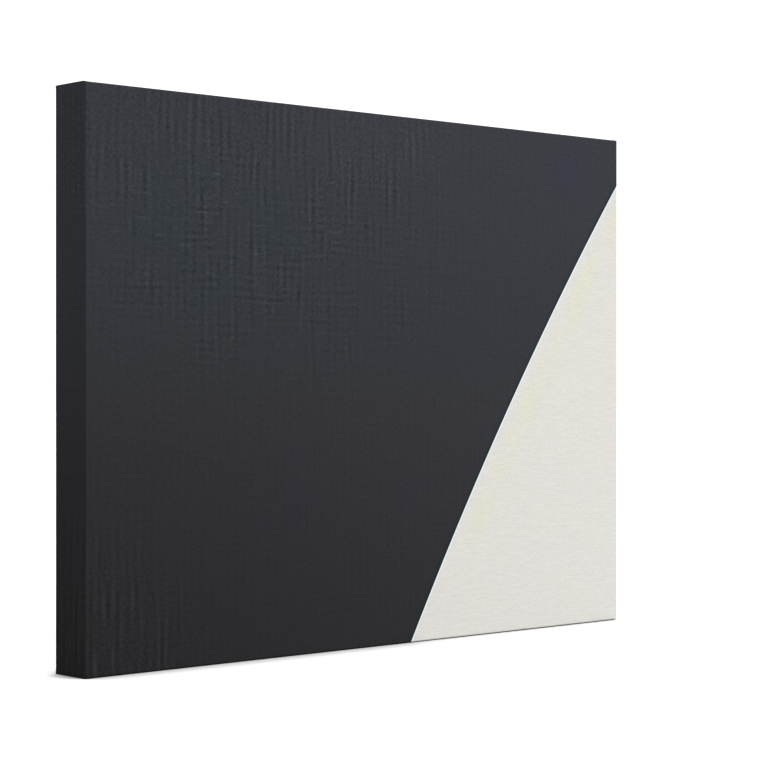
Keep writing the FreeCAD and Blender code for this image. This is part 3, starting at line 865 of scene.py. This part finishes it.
FLOOR_RADIUS = 14
FLOOR_LIT = 0.42           # how much light the floor throws back
FLOOR_SEEN = 1.45          # how bright the camera sees it
CONTACT_SHADE = 34 * MM    # reach of the soft shade on it beside the canvas


def make_floor():
    """A white studio floor, bright enough that only the shade close to the canvas shows on it; that
    shade is painted into the colour the camera sees, by an ambient occlusion factor.
    """
    bpy.ops.mesh.primitive_circle_add(vertices=96, radius=FLOOR_RADIUS, fill_type="NGON",
                                    location=(0, 0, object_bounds()[0].z - 0.01 * MM))
    floor = bpy.context.object
    floor.name = "studio_floor"
    material = bpy.data.materials.new("studio_floor")
    material.use_nodes = True
    nodes, links = material.node_tree.nodes, material.node_tree.links
    nodes.remove(nodes["Principled BSDF"])
    paint = nodes.new("ShaderNodeBsdfDiffuse")
    ray = nodes.new("ShaderNodeLightPath")
    tone = nodes.new("ShaderNodeMapRange")
    # painted shade: an ambient occlusion factor darkens the floor's colour, as the camera sees it,
    # close to the canvas
    shade = nodes.new("ShaderNodeAmbientOcclusion")
    shade.samples = 8
    shade.inputs["Distance"].default_value = CONTACT_SHADE
    seen = nodes.new("ShaderNodeMath")
    seen.operation = "MULTIPLY"
    seen.inputs[1].default_value = FLOOR_SEEN
    links.new(shade.outputs["AO"], seen.inputs[0])
    tone.inputs["To Min"].default_value = FLOOR_LIT
    links.new(seen.outputs["Value"], tone.inputs["To Max"])
    links.new(ray.outputs["Is Camera Ray"], tone.inputs["Value"])
    links.new(tone.outputs["Result"], paint.inputs["Color"])
    links.new(paint.outputs["BSDF"], nodes["Material Output"].inputs["Surface"])
    floor.data.materials.append(material)


def make_world(seen, ambient):
    """An even white surround, brighter to the camera than the light it gives."""
    world = bpy.data.worlds.new("studio")
    bpy.context.scene.world = world
    world.use_nodes = True
    nodes, links = world.node_tree.nodes, world.node_tree.links
    background = nodes["Background"]
    ray = nodes.new("ShaderNodeLightPath")
    strength = nodes.new("ShaderNodeMapRange")
    strength.inputs["To Min"].default_value = ambient
    strength.inputs["To Max"].default_value = seen
    links.new(ray.outputs["Is Camera Ray"], strength.inputs["Value"])
    links.new(strength.outputs["Result"], background.inputs["Strength"])
    background.inputs["Color"].default_value = (1, 1, 1, 1)


def make_sun(name, strength, softness, azimuth, elevation):
    """A large soft light from a direction, given as the view's azimuth and elevation."""
    light = bpy.data.lights.new(name, "SUN")
    light.energy = strength
    light.angle = math.radians(softness)
    lamp = bpy.data.objects.new(name, light)
    lamp.rotation_euler = (math.radians(90 - elevation), 0, math.radians(azimuth))
    bpy.context.scene.collection.objects.link(lamp)


def make_camera(azimuth, distance, lens, aside, lower):
    """A level camera that looks at the middle of the picture, or a little beside it."""
    data = bpy.data.cameras.new("camera")
    data.lens = lens
    data.sensor_width = 36
    camera = bpy.data.objects.new("camera", data)
    turn = math.radians(azimuth)
    aim = Vector((0, CAD_BOX[0][1], MIDDLE - lower))
    aim += aside * Vector((math.cos(turn), math.sin(turn), 0))
    camera.location = aim + distance * Vector((math.sin(turn), -math.cos(turn), 0))
    camera.rotation_euler = (math.pi / 2, 0, turn)
    bpy.context.scene.collection.objects.link(camera)
    bpy.context.scene.camera = camera


make_floor()
make_world(seen=1.25, ambient=0.568)
make_sun("key_light", strength=2.33, softness=50, azimuth=28, elevation=38)
make_sun("back_light", strength=1.2, softness=70, azimuth=150, elevation=52)
make_camera(azimuth=-42.15, distance=1.8154, lens=101.37, aside=-0.75 * MM, lower=0.2 * MM)
bpy.context.scene.view_settings.view_transform = "Standard"
